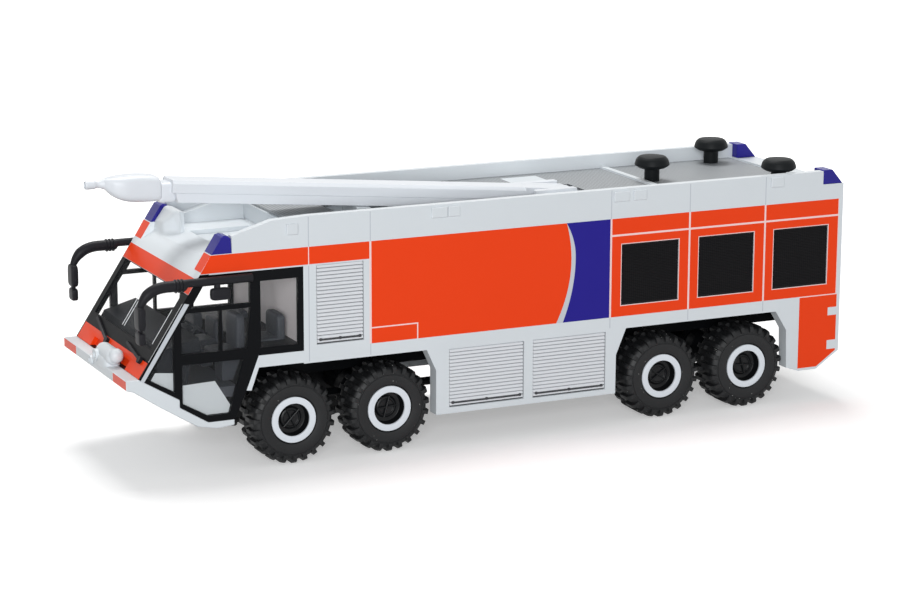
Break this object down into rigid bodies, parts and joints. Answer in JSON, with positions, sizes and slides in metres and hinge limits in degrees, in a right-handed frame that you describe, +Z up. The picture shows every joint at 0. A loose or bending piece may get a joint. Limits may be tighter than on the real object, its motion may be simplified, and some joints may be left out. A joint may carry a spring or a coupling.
{
  "type": "scale model airport fire truck",
  "caption": "Scale model of an airport fire truck with a sloping glazed cab front, a roof boom that lifts and wheels that roll.",
  "frame": {"origin": "on the ground below the middle of the overall length, on the centre line", "axes": "+X forward, +Y to the model's left, +Z up"},
  "size_m": [0.142, 0.0398, 0.0499],
  "materials": {
    "body_white": "satin moulded plastic",
    "panel_orange": "satin moulded plastic",
    "frame_black": "matt moulded plastic",
    "interior_grey": "matt moulded plastic",
    "glazing_clear": "clear moulded plastic",
    "lamp_blue": "clear tinted plastic",
    "lamp_red": "painted plastic",
    "grating_grey": "printed grid on plastic",
    "tyre_rubber": "matt soft rubber",
    "wheel_white": "satin moulded plastic",
    "pin_steel": "plain drawn pin"
  },
  "bodies": {
    "truck": {"body_shell": "body_white", "cab_roof": "body_white", "cab_lower": "body_white", "deck_plates": "body_white", "shutters": "body_white", "bumper_nozzle": "body_white", "parapet_lamps": "body_white", "boom_rest": "body_white", "engine_cover": "body_white", "front_panel": "panel_orange", "cab_frame": "frame_black", "mirrors": "frame_black", "wipers": "frame_black", "grilles": "frame_black", "roof_vents": "frame_black", "chassis_frame": "frame_black", "axle_housings": "frame_black", "driveline": "frame_black", "belly_plate": "frame_black", "tail_handles": "frame_black", "cab_floor": "interior_grey", "dashboard": "interior_grey", "seats": "interior_grey", "windscreen": "glazing_clear", "side_glass": "glazing_clear", "beacons_front": "lamp_blue", "beacons_rear": "lamp_blue", "tail_lamps": "lamp_red", "deck_gratings": "grating_grey", "boom_pin": "pin_steel"},
    "boom": {"boom_upper": "body_white", "boom_lower": "body_white", "boom_head": "body_white", "boom_nozzle": "body_white"},
    "wheelset_1": {"axle_1": "pin_steel", "wheels_1": "wheel_white", "tyres_1": "tyre_rubber"},
    "wheelset_2": {"axle_2": "pin_steel", "wheels_2": "wheel_white", "tyres_2": "tyre_rubber"},
    "wheelset_3": {"axle_3": "pin_steel", "wheels_3": "wheel_white", "tyres_3": "tyre_rubber"},
    "wheelset_4": {"axle_4": "pin_steel", "wheels_4": "wheel_white", "tyres_4": "tyre_rubber"}
  },
  "joints": [
    {"name": "boom_lift", "type": "hinge", "parent": "truck", "child": "boom", "pos_m": [-0.0206, 0, 0.0396], "axis": [0, -1, 0], "range_deg": [0, 60]},
    {"name": "axle_1_spin", "type": "hinge", "parent": "truck", "child": "wheelset_1", "pos_m": [0.0399, 0, 0.0079], "axis": [0, 1, 0], "continuous": true},
    {"name": "axle_2_spin", "type": "hinge", "parent": "truck", "child": "wheelset_2", "pos_m": [0.0219, 0, 0.0079], "axis": [0, 1, 0], "continuous": true},
    {"name": "axle_3_spin", "type": "hinge", "parent": "truck", "child": "wheelset_3", "pos_m": [-0.0327, 0, 0.0079], "axis": [0, 1, 0], "continuous": true},
    {"name": "axle_4_spin", "type": "hinge", "parent": "truck", "child": "wheelset_4", "pos_m": [-0.0507, 0, 0.0079], "axis": [0, 1, 0], "continuous": true}
  ]
}
